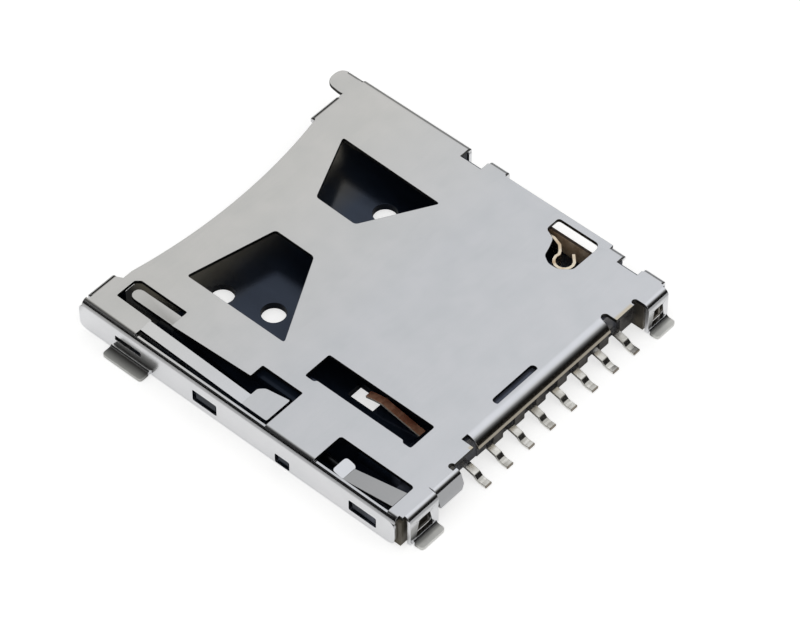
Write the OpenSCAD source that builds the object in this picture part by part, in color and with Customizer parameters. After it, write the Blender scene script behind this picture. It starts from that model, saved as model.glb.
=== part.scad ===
/* [Shell] */
// Length from the front edge to the rear wall
shell_l = 14.5; // [14.5:0.05:15]
// Height of the top face over the board
shell_h = 1.42; // [1.4:0.01:1.6]
// Thickness of the sheet
sheet_t = 0.15; // [0.1:0.01:0.16]
// Outer radius of the bends
bend_r = 0.25; // [0.2:0.01:0.3]
// Gap between the walls and the board
wall_lift = 0.06; // [0.04:0.01:0.1]
// How far the left wall steps in at the rear
rear_step = 0.3; // [0.1:0.01:0.35]
// How far the ear at the left of the mouth stands out
ear_out = 0.78; // [0.4:0.01:0.9]
// Width of the ear
ear_w = 0.89; // [0.8:0.01:1]
// Depth of the curved mouth edge behind the front edge
mouth_depth = 0.77; // [0.5:0.01:1]
// Radius of the curved mouth edge
mouth_r = 23.2; // [20:0.1:30]
// How far the leaves that hold the pin are bent down
leaf_drop = 0.18; // [0.1:0.01:0.19]

/* [Solder tabs] */
// How far the tabs stand out of the walls
tab_out = 0.48; // [0.3:0.01:0.7]
// Width of the two side tabs
side_tab_w = 1.8; // [1.6:0.1:2]
// Width of the two rear tabs
rear_tab_w = 1.15; // [0.9:0.05:1.3]
// Inner radius of the bend from wall to tab
tab_r = 0.15; // [0.05:0.01:0.2]

/* [Card] */
// Width of the card
card_w = 11; // [10.9:0.01:11.1]
// Width of the shoulder at the right of the card's leading part
shoulder_w = 1.3; // [1.2:0.01:1.4]
// Room from the card's left side to the outside of the left wall
left_room = 1.545; // [1.5:0.005:1.7]
// Room from the card's right side to the outside of the right wall
right_room = 1.675; // [1.6:0.005:1.8]
// Height of the card's underside over the board
card_z = 0.42; // [0.42:0.01:0.5]
// Side clearance of the card
card_gap = 0.1; // [0.05:0.01:0.15]
// Travel from the ejected position to the end stop
travel = 3.4; // [3:0.1:3.6]

/* [Contacts] */
// Pitch of the contacts
pitch = 1.1; // [1:0.01:1.1]
// Distance from the first contact to the edge of the card's leading part
pad_margin = 1; // [0.95:0.01:1.05]
// Thickness of the contact strip
contact_t = 0.1; // [0.08:0.01:0.13]
// Width of the contact tails
tail_w = 0.28; // [0.26:0.01:0.4]
// Width of the spring arms
arm_w = 0.3; // [0.2:0.01:0.36]
// How far the tails reach past the rear wall of the shell
tail_out = 0.35; // [0.2:0.01:0.45]

/* [Base] */
// Thickness of the floor
floor_t = 0.3; // [0.26:0.01:0.32]
// Clearance between the base and the shell
seat_gap = 0.02; // [0.01:0.01:0.03]
// Thickness of the wall beside the slider
channel_wall = 0.18; // [0.12:0.01:0.22]
// Depth of the rear wall
rear_wall = 0.55; // [0.5:0.05:0.6]
// Radius of the round holes in the floor
hole_r = 0.45; // [0.3:0.01:0.5]

/* [Eject mechanism] */
// Clearance around the slider
slide_gap = 0.04; // [0.03:0.01:0.06]
// Length of the slider behind the card's shoulder
slider_len = 5.2; // [5:0.1:5.3]
// Thickness of the slider under its groove
cam_base = 0.18; // [0.14:0.01:0.2]
// Diameter of the pin's wire
pin_d = 0.28; // [0.24:0.01:0.3]
// Swing of the pin over the travel, in degrees
pin_swing = 5.4; // [5:0.1:5.6]
// Diameter of the spring's wire
spring_wire = 0.13; // [0.1:0.01:0.14]
// Clearance over and under the spring
spring_gap = 0.06; // [0.05:0.01:0.12]
// Turns of the spring
spring_turns = 11; // [8:1:11]

/* [Card detect switch] */
// Thickness of the switch strips
switch_t = 0.12; // [0.1:0.01:0.13]
// How far the hook reaches into the card's path
hook_reach = 0.56; // [0.4:0.01:0.6]
// Gap between the hook's end and the fixed contact
switch_gap = 0.22; // [0.15:0.01:0.3]

/* [Hidden] */
contact_count = floor((card_w - shoulder_w - 2 * pad_margin + pitch / 4) / pitch) + 1;
$fn = 32;
eps = 0.01;

// Outline of the shell
shell_w = card_w + left_room + right_room;
half_w = shell_w / 2;
front_y = -shell_l / 2;
rear_y = shell_l / 2;
plate_z = shell_h - sheet_t;
wall_top = shell_h - bend_r;
flat_x = half_w - bend_r;
flat_y = rear_y - bend_r;
left_x = -half_w;
left_rear_x = left_x + rear_step;
step_y = -0.25;
ear_x = left_x + 0.17;
ear_end = ear_x + ear_w;
ear_lip_x = left_x + 0.08;
ear_lip_y = front_y - 0.45;
lip_r = 0.22;
lip_h = 0.12;
left_lip = [ear_end + 0.3, front_y - 0.03, 1.3];
right_lip = [half_w - 1.59, front_y - 0.1, 1.17];
tab_y = front_y + 2.25;
slot_wall = 0.12;
rear_bend = [4.62, 5.2];
comb_r = 0.57;
comb_y = rear_y - 0.89;
comb_angle = 70;

// Rear wall pieces, and the flap beside the right one
tab_step = 0.1;
tab_window_z = 1;
right_tab_x = flat_x - 0.8;
left_tab_x = left_x + 1.15;
flap_y = rear_y - 0.23;
flap_left = half_w - 2.99;
flap_right = half_w - 1.78;
flap_angle = 72;
flap_l = 0.54;

// Contacts and card
card_x = half_w - right_room;
card_left = card_x - card_w;
card_mid = card_x - card_w / 2;
nose_x = card_x - shoulder_w;
first_x = nose_x - pad_margin;
rail_x = card_left - card_gap;
strip_z = 0.34;
mould_gap = 0.01;
root_y = 4.75;
tip_y = 2.28;
apex_y = 2.98;
apex_z = 0.66;
arm_window = [1.62, 2.75];
arm_window_w = 0.67;

// Openings in the plate, seen from above
mouth_x = card_mid + 0.66;
mouth_left = card_left + 1.16;
mouth_right = card_x - 0.44;
left_window = [[card_mid - 4.24, -1.1], [card_mid - 4.34, -5.7], [card_mid - 1.64, -4.5],
    [card_mid - 1.59, -2.65]];
right_window = [[card_mid + 3.96, -0.85], [card_mid + 0.46, -2.7], [card_mid + 0.44, -4.5],
    [card_mid + 3.96, -5.35]];
arm_slot = [[first_x + 0.165, 0.65], [first_x + 1.365, 0.65], [first_x + 1.365, 1.05], [first_x + 1.265, 1.1],
    [first_x + 1.265, 4.95], [first_x + 1.365, 5], [first_x + 1.365, 5.35], [first_x + 0.165, 5.35]];
rear_slot = [[card_mid - 0.84, 6], [card_mid + 1.26, 6], [card_mid + 1.26, 6.3], [card_mid - 0.84, 6.3]];
switch_window = [[left_x + 0.59, 2.42], [left_x + 1.23, 2.42], [left_x + 1.43, 2.88], [left_x + 1.81, 3.04],
    [left_x + 2.21, 3.16], [left_x + 2.41, 3.5], [left_x + 2.39, 3.9], [left_x + 2.06, 4.3],
    [left_x + 0.81, 4.32], [left_x + 0.59, 4.2]];
pin_window = [[half_w - 1.46, 3.3], [half_w - slot_wall, 3.3], [half_w - slot_wall, 6.53],
    [half_w - 1.46, 6.53]];
leaf_slot = [[half_w - 1.99, 1.12], [half_w - slot_wall, 1.12], [half_w - slot_wall, -4.85],
    [half_w - 0.95, -4.85], [half_w - 0.98, -6.52], [half_w - 1.86, -6.52], [half_w - 2.01, -6.34],
    [half_w - 2.01, -4.2], [half_w - 1.75, -4.2], [half_w - 1.24, -4.2], [half_w - 1.39, -0.7],
    [half_w - 1.99, -0.7]];
notch_x = left_x + 0.63;
notch_y = [step_y - 1.8, step_y - 0.85];
rear_notch_x = left_x + 0.81;
rear_notch_y = [flat_y - 1.8, flat_y - 0.9];
notch_gap = 0.15;

// Leaves and tongue that are bent down from the plate
leaf_y = -4.9;
leaf_run = 4.7;
leaf_x = [half_w - 0.91, half_w - 0.41];
foot_x = half_w - 1.59;
foot_y = 0.92;
rear_leaf_y = 6.55;
rear_leaf_run = 2.1;
rear_leaf_tip = 0.48;
tip_angle = 12;
tongue_y = -4.18;
tongue_len = 2.05;
tongue_drop = 0.02;
beam_z = 0.6;

// Holes in the right wall, as [first y, last y, lowest z, highest z]
wall_holes = [[-2.1, -1, 0.3, 0.82], [1.65, 2.3, 0.1, 0.52], [4.95, 6.15, 0.32, 0.8]];
tab_hole = [-5.7, -4.5, 0.42, 0.82];
lug_inset = 0.1;

// Outline of the base inside the shell
base_x = half_w - sheet_t - seat_gap;
base_rear_x = base_x - rear_step;
base_top = plate_z - seat_gap;
base_front = front_y + 0.3;
base_rear = rear_y - 0.8;
stop_y = base_rear - rear_wall;
corner_y = rear_y - sheet_t - seat_gap;
corner_x = half_w - 2.8;
corner_left = left_x + 1.62;
corner_mid_y = corner_y - 0.18;
nook_y = base_rear + 0.15;
seat_cut = 0.6 * (bend_r - sheet_t) * sqrt(2);
rib_top = card_z - 0.01;
ledge_z = 0.53;
ledge_out = 0.04;
tooth_z = 0.46;
tooth_w = 0.5;
tooth_out = 0.15;
floor_holes = [[card_mid + 2.54, -2.68], [card_mid + 3.09, -4.58], [card_mid - 3.41, -2.88]];

// Slider, at rest with the card out
slider_in = nose_x + card_gap;
slider_out = base_x - channel_wall - slide_gap;
beam_in = card_x + card_gap;
rail_out = card_x - card_gap / 5;
slider_rear = 0.6;
rail_rear = slider_rear + 0.6;
slider_front = slider_rear - slider_len;
beam_front = slider_front - 0.45;
hook_in = 0.17;
hook_l = 0.25;
slider_z = floor_t + 0.02;
rail_top = base_top - 0.1;
channel_front = beam_front - 0.1;
channel_rear = slider_rear + travel + 0.12;
channel_top = 1;

// Pin that the leaves hold down
pin_r = pin_d / 2;
pin_play = 0.03;
pin_z = plate_z - leaf_drop - pin_play - pin_r;
pin_inset = 0.95;
pin_start = 0.3;
pivot_inset = 0.7;
pivot_room = 0.24;
pivot_x = half_w - pivot_inset;
pivot_y = channel_rear + pivot_room;
pivot_top = pin_z - pin_r - 0.04;
pin_x = half_w - pin_inset;
pin_y = slider_rear - pin_start;
pin_fit = 0.03;
bore_z = 0.12;
pin_lift = 0.02;
cam_gap = 0.05;
cam_top = pin_z - pin_r - pin_lift;
cam_floor = slider_z + cam_base;
cam_wall = pin_r + cam_gap;
pin_far = pin_place(pin_swing);
return_x = pin_x + 0.24;

// Spring between the slider and the rear wall
spring_d = plate_z - floor_t - 2 * spring_gap;
spring_r = (spring_d - spring_wire) / 2;
spring_x = slider_in + spring_d / 2 + 0.07;
spring_z = floor_t + spring_gap + spring_d / 2;
spring_seat = stop_y + 0.3;
peg_r = spring_r - spring_wire / 2 - 0.07;
peg_l = 0.5;
spring_sides = 8;
spring_steps = 20;

// Switch strips on edge
switch_x = left_x + 1.15;
switch_z = card_z;
switch_top = 1.1;
hook_x = card_left + hook_reach;
hook_y = 3.65;
hook_r = 0.36;
pocket_front = 2;
pocket_rear = 4.5;
switch_root = pocket_front - 1.05;
terminal_x = switch_x - switch_gap - switch_t / 2;
terminal_hold = 0.2;
foot_w = 0.4;
foot_lead = 0.1;
hook_lead = 0.95;
hook_start = -110;
hook_end = 120;

// Where the pin's free end stands after a swing in degrees
function pin_place(a) = [
    pivot_x + (pin_x - pivot_x) * cos(a) + (pin_y - pivot_y) * sin(a),
    pivot_y - (pin_x - pivot_x) * sin(a) + (pin_y - pivot_y) * cos(a)
];

function unit(v) = v / norm(v);
function left_of(v) = [-v[1], v[0]];

// Corners of an outline, each rounded over the length c
function rounded(pts, c, n = 4) = [
    for (i = [0:len(pts) - 1])
        let (
            p = pts[i],
            a = pts[(i + len(pts) - 1) % len(pts)],
            b = pts[(i + 1) % len(pts)],
            pa = p + min(c, norm(a - p) / 2) * unit(a - p),
            pb = p + min(c, norm(b - p) / 2) * unit(b - p)
        )
        for (k = [0:n])
            let (t = k / n)
            (1 - t) * (1 - t) * pa + 2 * t * (1 - t) * p + t * t * pb
];

// Direction across a path at one of its points
function across(path, i) =
    let (
        last = len(path) - 1,
        a = unit(path[min(i + 1, last)] - path[min(i, last - 1)]),
        b = unit(path[max(i, 1)] - path[max(i - 1, 0)]),
        n = left_of(a),
        m = left_of(b)
    )
    (n + m) / (1 + n * m);

// Outline of a strip of thickness t that is bent along a path
function ribbon(path, t) = concat(
    [for (i = [0:len(path) - 1]) path[i] + across(path, i) * t / 2],
    [for (i = [len(path) - 1:-1:0]) path[i] - across(path, i) * t / 2]
);

function arc(cx, cy, r, a0, a1, n = 6) = [
    for (k = [0:n])
        let (a = a0 + (a1 - a0) * k / n)
        [cx + r * cos(a), cy + r * sin(a)]
];

// Height of the curved mouth edge at x
function mouth_y(x) =
    front_y + mouth_depth - mouth_r + sqrt(mouth_r * mouth_r - (x - mouth_x) * (x - mouth_x));

function mouth_curve(back) = [
    for (k = [0:16])
        let (x = mouth_left + (mouth_right - mouth_left) * k / 16)
        [x, mouth_y(x) + back]
];

// A box from its lowest corner to its highest
module block(a, b) {
    translate(a) cube(b - a);
}

// A flat piece in the plane of the plate
module flat(pts) {
    translate([0, 0, plate_z]) linear_extrude(sheet_t) polygon(pts);
}

// Quarter round bend that runs along +Y, with its outside at x = 0
module bend(length, r) {
    translate([-r, 0, -r]) rotate([-90, 0, 0]) mirror([0, 1, 0]) linear_extrude(length)
        intersection() {
            difference() {
                circle(r);
                circle(r - sheet_t);
            }
            square(r);
        }
}

// Profile drawn as [along Y, up Z], run along X
module along_x(length) {
    rotate([90, 0, 90]) linear_extrude(length) children();
}

// Solder foot that curves out of a wall along +X, centred on y = 0
module tab(width, out = tab_out) {
    r = tab_r + sheet_t / 2;
    path = concat(
        [[-sheet_t / 2, tab_r + 3 * sheet_t]],
        arc(tab_r, sheet_t / 2 + r, r, 180, 270),
        [[out, sheet_t / 2]]
    );
    intersection() {
        translate([0, width / 2, 0]) rotate([90, 0, 0]) linear_extrude(width) polygon(ribbon(path, sheet_t));
        translate([out - 2, -width / 2, -eps]) linear_extrude(1)
            polygon(rounded([[0, 0], [2, 0], [2, width], [0, width]], 0.14));
    }
}

// Wall in the plane x = 0, from its inner face outwards, drawn as [Y, Z]
module side_wall(pts) {
    translate([-sheet_t, 0, 0]) along_x(sheet_t) difference() {
        polygon(pts);
        children();
    }
}

module slot_hole(y0, y1, z0, z1) {
    polygon(rounded([[y0, z0], [y1, z0], [y1, z1], [y0, z1]], 0.06));
}

module plate_blank() {
    difference() {
        union() {
            flat(concat(
                [[-flat_x, front_y + 0.1], [left_lip[0], front_y + 0.1], [left_lip[0], left_lip[1] + lip_r],
                    [mouth_left, left_lip[1] + lip_r]],
                mouth_curve(0),
                [[mouth_right + 0.42, mouth_y(mouth_right)], [right_lip[0], right_lip[1] + 0.25],
                    [right_lip[0], right_lip[1] + lip_r], [right_lip[0] + right_lip[2], right_lip[1] + lip_r],
                    [flat_x, front_y + 0.1], [flat_x, flat_y + tab_step], [half_w - 1.75, flat_y + tab_step],
                    [half_w - 1.77, flat_y - 0.1], [half_w - 1.87, flap_y], [half_w - 2.82, flap_y],
                    [half_w - 3.06, flat_y - 0.12], [half_w - 4.01, flat_y - 0.12],
                    [half_w - 4.01, comb_y], [mouth_left + 0.43, comb_y],
                    [mouth_left + 0.43, flat_y - 0.12], [left_x + 1.92, flat_y - 0.12],
                    [left_x + 1.67, flat_y + tab_step], [left_rear_x + bend_r, flat_y + tab_step],
                    [left_rear_x + bend_r, rear_notch_y[1]], [rear_notch_x, rear_notch_y[1]],
                    [rear_notch_x, rear_notch_y[0]], [left_rear_x + bend_r, rear_notch_y[0]],
                    [left_rear_x + bend_r, rear_bend[0]], [left_rear_x, rear_bend[0]],
                    [left_rear_x, step_y], [-flat_x, step_y], [-flat_x, notch_y[1]],
                    [notch_x, notch_y[1]], [notch_x, notch_y[0]], [-flat_x, notch_y[0]]]
            ));
            difference() {
                flat(rounded([[ear_x, front_y - ear_out], [ear_end, front_y - ear_out],
                    [ear_end + 0.12, front_y + 0.3], [ear_x, front_y + 0.3]], 0.42, 6));
                block([left_x, ear_lip_y, 0], [ear_lip_x + lip_r, front_y + 0.35, 2]);
            }
        }
        // Relief slots where the rear edge turns down, as [x, y, radius]
        for (p = [[half_w - 4.15, flat_y - 0.62, 0.14], [half_w - 2.94, flat_y - 0.25, 0.12],
                [mouth_left + 0.28, flat_y - 0.65, 0.15], [left_x + 1.79, flat_y - 0.3, 0.12]]) {
            translate([p[0], p[1] + p[2], plate_z - 1]) cylinder(r = p[2], h = 2);
            block([p[0] - p[2], p[1] + p[2], plate_z - 1], [p[0] + p[2], rear_y, plate_z + 1]);
        }
        // Notches at the two ends of the front edge
        for (p = [[left_lip[0] - 0.1, front_y - 0.15], [flat_x, front_y + 0.06]])
            translate([p[0], p[1], plate_z - 1]) cylinder(r = 0.1, h = 2);
    }
}

// Opening in the plate, with its corners rounded over c
module opening(pts, c) {
    translate([0, 0, plate_z - 0.5]) linear_extrude(1) polygon(rounded(pts, c));
}

module plate_openings() {
    opening(left_window, 0.12);
    opening(right_window, 0.12);
    opening(arm_slot, 0.08);
    opening(rear_slot, 0.15);
    opening(switch_window, 0.12);
    opening(pin_window, 0.12);
    opening(leaf_slot, 0.05);
}

// Sheet that is bent down along a line at y0, towards -Y, or towards +Y for a negative drop
module bent_down(y0, drop, run) {
    translate([0, y0, shell_h]) rotate([atan(drop / run), 0, 0]) translate([0, -y0, -sheet_t])
        linear_extrude(sheet_t) children();
}

// Leaf over the groove, with a wider foot at its end
module front_leaf() {
    end = leaf_y + leaf_run;
    bent_down(leaf_y, -leaf_drop, leaf_run)
        polygon([[leaf_x[0], leaf_y], [leaf_x[1], leaf_y], [leaf_x[1], end], [leaf_x[0], end]]);
    translate([0, 0, -leaf_drop])
        flat(rounded([[leaf_x[0], end - 0.05], [leaf_x[1], end - 0.05], [leaf_x[1], foot_y], [foot_x, foot_y],
            [foot_x + 0.16, end + 0.15], [foot_x + 0.36, end - 0.05]], 0.08));
}

module tongue() {
    bent_down(tongue_y, tongue_drop, tongue_len)
        polygon(concat(
            [[half_w - 1.75, tongue_y], [half_w - 1.26, tongue_y]],
            arc(half_w - 1.505, tongue_y - tongue_len + 0.245, 0.245, 0, -180)
        ));
}

// Leaf over the pin's pivot, with its tip turned up
module rear_leaf() {
    end = rear_leaf_y - rear_leaf_run;
    bent_down(rear_leaf_y, leaf_drop, rear_leaf_run)
        polygon([[half_w - 1.13, rear_leaf_y], [half_w - 0.39, rear_leaf_y], [half_w - 0.26, end],
            [half_w - 0.85, end]]);
    translate([0, end, shell_h - leaf_drop]) rotate([-tip_angle, 0, 0]) translate([0, 0, -sheet_t])
        linear_extrude(sheet_t)
            polygon(rounded([[half_w - 0.85, 0.05], [half_w - 0.26, 0.05], [half_w - 0.26, -rear_leaf_tip],
                [half_w - 0.98, -rear_leaf_tip], [half_w - 0.98, -0.05]], 0.15));
}

module wall_slot(hole) {
    slot_hole(hole[0], hole[1], hole[2], hole[3]);
}

// Room in a wall where a tab turns out of it
module tab_cut(y, width) {
    translate([y - width / 2, -eps]) square([width, tab_r + sheet_t + eps]);
}

module side_walls() {
    front = front_y - 0.15;
    left_front = front_y + 0.2;
    rear = flat_y - 0.05;
    // Right wall
    translate([half_w, 0, shell_h]) difference() {
        translate([0, front_y, 0]) bend(rear - front_y, bend_r);
        for (y = [[leaf_slot[2][1], leaf_slot[0][1]], [pin_window[0][1], pin_window[2][1]]])
            block([-bend_r - 0.1, y[0], -slot_wall], [-slot_wall, y[1], 0.1]);
    }
    translate([half_w, 0, 0]) side_wall(rounded([[front, wall_lift], [rear, wall_lift],
            [rear, wall_top + eps], [front, wall_top + eps]], 0.3)) {
        wall_slot(tab_hole);
        for (hole = wall_holes) wall_slot(hole);
        tab_cut(tab_y, side_tab_w);
    }
    translate([half_w, tab_y, 0]) tab(side_tab_w);
    // Left wall in stretches, drawn as their mirror images
    mirror([1, 0, 0]) {
        translate([half_w, 0, shell_h]) {
            translate([0, left_front + 0.05, 0]) bend(notch_y[0] - left_front - 0.05, bend_r);
            translate([0, notch_y[1] + 0.05, 0]) bend(step_y - notch_y[1] - 0.1, bend_r);
        }
        translate([-ear_lip_x, ear_lip_y, shell_h]) bend(left_front - ear_lip_y, lip_r);
        translate([half_w, 0, 0]) side_wall(rounded([[left_front, wall_lift], [notch_y[0], wall_lift],
                [notch_y[0], wall_top + eps], [left_front, wall_top + eps]], 0.12)) {
            wall_slot(tab_hole);
            slot_hole(-3.6, -2.7, 0.3, 0.8);
            tab_cut(tab_y, side_tab_w);
        }
        translate([half_w, 0, 0]) side_wall([[notch_y[1] + 0.05, 0.35], [step_y - 0.05, 0.35],
            [step_y - 0.05, wall_top], [notch_y[1] + 0.05, wall_top]]);
        translate([half_w, tab_y, 0]) tab(side_tab_w);
        translate([half_w - rear_step, rear_bend[0], shell_h]) bend(rear_bend[1] - rear_bend[0], bend_r);
        translate([half_w - rear_step, rear_notch_y[1] + 0.05, shell_h])
            bend(rear - rear_notch_y[1] - 0.05, bend_r);
        translate([half_w - rear_step, 0, 0]) side_wall([[rear_notch_y[1] + 0.05, wall_lift],
            [rear, wall_lift], [rear, wall_top], [rear_notch_y[1] + 0.05, wall_top]]);
    }
}

// Turns a piece drawn along +Y with its outside at +X to the rear, from x0 towards -X
module at_rear(x0) {
    translate([x0, rear_y, 0]) rotate([0, 0, 90]) children();
}

// Stretch of the rear wall with a solder tab, and a window that widens down to the tab's bend
module rear_wall_piece(width, tab_at, tab_width) {
    low = tab_r + sheet_t - 0.06;
    narrow = tab_width * 0.23;
    wide = tab_width / 2 - 0.16;
    window = [[-wide, low], [wide, low], [narrow, tab_window_z], [-narrow, tab_window_z]];
    translate([tab_step, 0, 0]) {
        translate([0, 0, shell_h]) bend(width, bend_r);
        difference() {
            union() {
                side_wall([[0, wall_lift], [width, wall_lift], [width, wall_top], [0, wall_top]])
                    tab_cut(tab_at, tab_width);
                translate([0, tab_at, 0]) tab(tab_width, tab_out - 0.06);
            }
            translate([-1, tab_at, 0]) along_x(2) polygon(rounded(window, 0.06));
        }
    }
}

// Flap that isn't turned all the way down, with a slanted corner
module rear_flap() {
    path = concat(
        [[flap_y - 0.1, shell_h - sheet_t / 2]],
        arc(flap_y, shell_h - bend_r, bend_r - sheet_t / 2, 90, 90 - flap_angle, 8)
    );
    last = path[len(path) - 1];
    tip = last + flap_l * [cos(flap_angle), -sin(flap_angle)];
    difference() {
        translate([flap_left, 0, 0]) along_x(flap_right - flap_left)
            polygon(ribbon(concat(path, [tip]), sheet_t));
        translate([flap_left, tip[0], tip[1]]) rotate([0, 45, 0]) cube([0.25, 1, 0.25], center = true);
        // The part beside the plate is free of it
        block([flap_left - 1, flap_y - 1, plate_z - 1], [half_w - 2.82, flap_y, shell_h + 1]);
    }
}

module rear_walls() {
    at_rear(right_tab_x + 0.7) rear_wall_piece(1.4, 0.7, rear_tab_w);
    at_rear(left_tab_x + 0.52) rear_wall_piece(1.05, 0.52, rear_tab_w - 0.17);
    rear_flap();
    // Flap over the tails, between two relief slots
    comb_x = mouth_left + 0.43;
    path = concat(
        [[comb_y - 0.1, shell_h - sheet_t / 2]],
        arc(comb_y, shell_h - comb_r, comb_r - sheet_t / 2, 90, 90 - comb_angle, 12)
    );
    translate([comb_x, 0, 0]) along_x(half_w - 4.29 - comb_x) polygon(ribbon(path, sheet_t));
}

// Short rounded lips along the front edge
module front_lips() {
    for (p = [left_lip, right_lip])
        translate([p[0], p[1], shell_h]) rotate([0, 0, -90]) {
            bend(p[2], lip_r);
            block([-sheet_t, 0, -lip_r - lip_h], [0, p[2], -lip_r]);
        }
}

module shell() {
    color("gainsboro") {
        difference() {
            plate_blank();
            plate_openings();
        }
        front_leaf();
        tongue();
        rear_leaf();
        side_walls();
        rear_walls();
        front_lips();
    }
}

// Outline of the floor
function floor_outline() = concat(
    [[-base_x, base_front], [mouth_left, base_front]],
    [for (p = mouth_curve(0.3)) if (p[0] < mouth_right - 1.7) p],
    [[mouth_right - 1.7, front_y + 0.1], [base_x, front_y + 0.1], [base_x, corner_y],
        [flap_right, corner_y], [flap_right, corner_mid_y], [corner_x, corner_mid_y], [corner_x, nook_y],
        [corner_x - 0.6, nook_y], [corner_x - 0.6, base_rear], [corner_left + 0.65, base_rear],
        [corner_left + 0.65, nook_y], [corner_left, nook_y], [corner_left, corner_y],
        [-base_rear_x, corner_y], [-base_rear_x, step_y], [-base_x, step_y]]
);

// Ledge under the tails, with teeth between them
module rear_comb() {
    block([first_x - (contact_count - 1) * pitch + 0.24, base_rear - eps, 0],
        [first_x - 0.68, base_rear + ledge_out, ledge_z]);
    for (i = [1:contact_count - 2])
        translate([first_x - (i + 0.5) * pitch - tooth_w / 2, base_rear - eps, 0])
            cube([tooth_w, tooth_out + eps, tooth_z]);
}

// Rails and stop around the card
module card_frame() {
    block([-base_x, base_front, 0], [rail_x, step_y, base_top]);
    block([-base_rear_x, base_front, 0], [rail_x, pocket_front, base_top]);
    block([-base_rear_x, pocket_rear, 0], [rail_x, base_rear, base_top]);
    block([-base_rear_x, stop_y, 0], [half_w - 1.6, base_rear, base_top]);
    block([half_w - 1.7, stop_y, 0], [base_x, base_rear, plate_z - leaf_drop - 0.06]);
    block([beam_in, base_front, 0], [base_x, base_front + 0.25, base_top]);
    block([beam_in, base_front, 0], [base_x, channel_front, beam_z]);
    block([base_x - channel_wall, channel_front - eps, 0], [base_x, stop_y + eps, channel_top]);
    block([beam_in, channel_rear, 0], [base_x, stop_y + eps, pivot_top]);
    block([beam_in, channel_rear, 0], [beam_in + 0.12, stop_y + eps, base_top]);
    // Ribs that carry the card, and the bar that holds the contacts
    block([card_left, base_front + 0.4, 0], [card_left + 0.5, root_y, rib_top]);
    block([nose_x - 0.45, base_front + 0.4, 0], [nose_x, 1, rib_top]);
    block([rail_x, root_y - 0.05, 0], [nose_x, stop_y + eps, rib_top]);
}

// Blocks that fill the shell's two rear corners
module rear_corners() {
    block([flap_right, base_rear - eps, 0], [base_x, corner_y, base_top]);
    block([corner_x, base_rear - eps, 0], [flap_right + eps, corner_mid_y, base_top]);
    block([corner_x - 0.6, base_rear - eps, 0], [corner_x + eps, nook_y, 0.9]);
    block([-base_rear_x, base_rear - eps, 0], [corner_left, corner_y, base_top]);
    block([corner_left - eps, base_rear - eps, 0], [corner_left + 0.65, nook_y, 1]);
}

// Post that the spring's rear end sits on
module spring_post() {
    translate([spring_x, spring_seat + eps, spring_z]) rotate([90, 0, 0])
        cylinder(r = peg_r, h = peg_l + eps);
}

// Bevel along +Y that keeps a top edge of the base clear of the shell's bend
module edge_cut(length) {
    translate([0, length / 2, 0]) rotate([0, 45, 0]) cube([seat_cut, length, seat_cut], center = true);
}

module edge_cuts() {
    translate([base_x, base_front - 0.5, base_top]) edge_cut(shell_l + 1);
    translate([-base_x, base_front - 0.5, base_top]) edge_cut(step_y - base_front + 0.5);
    translate([-base_rear_x, step_y, base_top]) edge_cut(shell_l);
    translate([half_w, corner_y, base_top]) rotate([0, 0, 90]) edge_cut(shell_w);
}

// Recesses in the left side where the plate's edge is notched
module side_recesses() {
    start = [-base_x - 0.1, -0.05, floor_t + 0.2];
    block(start + [0, notch_y[0], 0], [notch_x - notch_gap, notch_y[1] + 0.05, shell_h]);
    block(start + [0, rear_notch_y[0] + 0.05, 0], [rear_notch_x - notch_gap, rear_notch_y[1], shell_h]);
}

// Recesses behind the windows over the rear tabs
module window_recesses() {
    for (p = [[right_tab_x, 0.45], [left_tab_x, 0.36]])
        block([p[0] - p[1], corner_y - 0.6, tab_r], [p[0] + p[1], rear_y, tab_window_z + 0.05]);
}

// Slots that hold the switch strips, and the way out of the spring's foot
module switch_slots() {
    hold = switch_t / 2 + mould_gap;
    block([switch_x - hold, switch_root - 0.05, floor_t], [switch_x + hold, pocket_front + 0.1, 2]);
    block([terminal_x - hold, pocket_front - terminal_hold - mould_gap, floor_t],
        [terminal_x + hold, pocket_rear + terminal_hold + mould_gap, 2]);
    block([-base_x - 0.1, switch_root - 0.05, floor_t], [switch_x, switch_root + foot_w + 0.04, 2]);
}

module housing() {
    color("#1d1e21") difference() {
        union() {
            linear_extrude(floor_t) polygon(floor_outline());
            card_frame();
            rear_corners();
            rear_comb();
            spring_post();
            // Lugs in the wall holes
            for (hole = wall_holes)
                block([base_x - 0.1, hole[0] + lug_inset, hole[2] + lug_inset / 2],
                    [base_x + 0.1, hole[1] - lug_inset, hole[3] - lug_inset]);
        }
        // Room for the spring's end around its post
        difference() {
            block([slider_in, stop_y - 0.1, floor_t], [card_x, spring_seat, base_top + 0.1]);
            spring_post();
        }
        // Windows under the contact arms and channels for their strips
        for (i = [0:contact_count - 1])
            translate([first_x - i * pitch, 0, 0]) {
                block([-arm_window_w / 2, arm_window[0], -1], [arm_window_w / 2, arm_window[1], 1]);
                block([-tail_w / 2 - mould_gap, root_y - 0.1, strip_z - contact_t / 2 - mould_gap],
                    [tail_w / 2 + mould_gap, rear_y, strip_z + contact_t / 2 + mould_gap]);
            }
        for (p = floor_holes)
            translate([p[0], p[1], -1]) cylinder(r = hole_r, h = 2);
        // Hole for the pin's pivot
        translate([pivot_x, pivot_y, bore_z]) cylinder(r = pin_r + pin_fit, h = 2);
        edge_cuts();
        side_recesses();
        window_recesses();
        switch_slots();
    }
}

// Contact strip, drawn as [along Y, up Z]
function arm_path() = concat(
    [[tip_y, apex_z - 0.17]],
    [for (k = [-2:2]) [apex_y + 0.12 * k, apex_z - 0.012 * k * k]],
    [[root_y - 0.25, strip_z + 0.03], [root_y, strip_z], [root_y + 0.3, strip_z]]
);

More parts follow.
